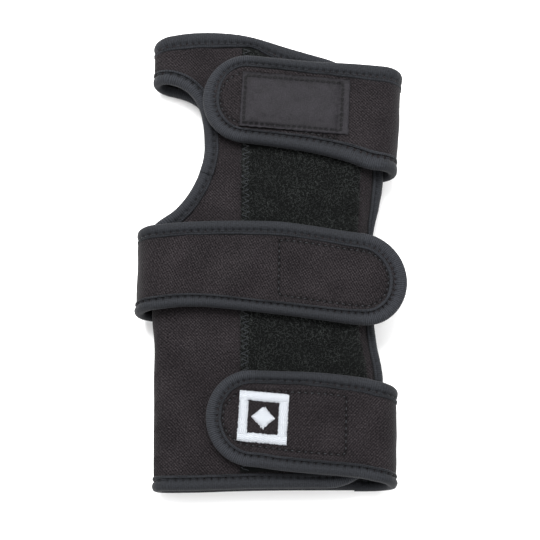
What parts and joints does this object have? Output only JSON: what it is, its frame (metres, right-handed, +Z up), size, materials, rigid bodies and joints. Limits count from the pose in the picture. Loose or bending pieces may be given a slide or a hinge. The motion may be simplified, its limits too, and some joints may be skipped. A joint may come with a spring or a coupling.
{
  "type": "bowling wrist glove",
  "caption": "Padded wrist support glove folded flat, with a thumb hole in the fold, bound edges, a loop field and straps that wrap over and fasten on it.",
  "frame": {"origin": "on the surface it lies on, below the middle of its outline", "axes": "+Z up out of the surface, +Y from the forearm end towards the fingers, +X from the thumb fold towards the free edge"},
  "size_m": [0.1304, 0.2242, 0.0294],
  "materials": {
    "twill": "matt black twill face of a padded laminate",
    "tape": "ribbed binding tape, blue-black",
    "loop_pile": "napped loop pile, black",
    "hook_tape": "moulded hook tape, black",
    "satin": "plain woven satin label, charcoal",
    "thread": "embroidery thread, white"
  },
  "bodies": {
    "root": {"glove_panel": "twill", "hand_strap": "twill", "wrist_strap": "twill", "forearm_strap": "twill", "finger_end_binding": "tape", "forearm_end_binding": "tape", "free_edge_binding": "tape", "back_edge_binding": "tape", "thumb_hole_binding": "tape", "hand_strap_binding": "tape", "wrist_strap_binding": "tape", "forearm_strap_binding": "tape", "loop_field": "loop_pile", "hand_strap_hook": "hook_tape", "wrist_strap_hook": "hook_tape", "forearm_strap_hook": "hook_tape", "woven_label": "satin", "embroidered_badge": "thread"}
  },
  "joints": []
}
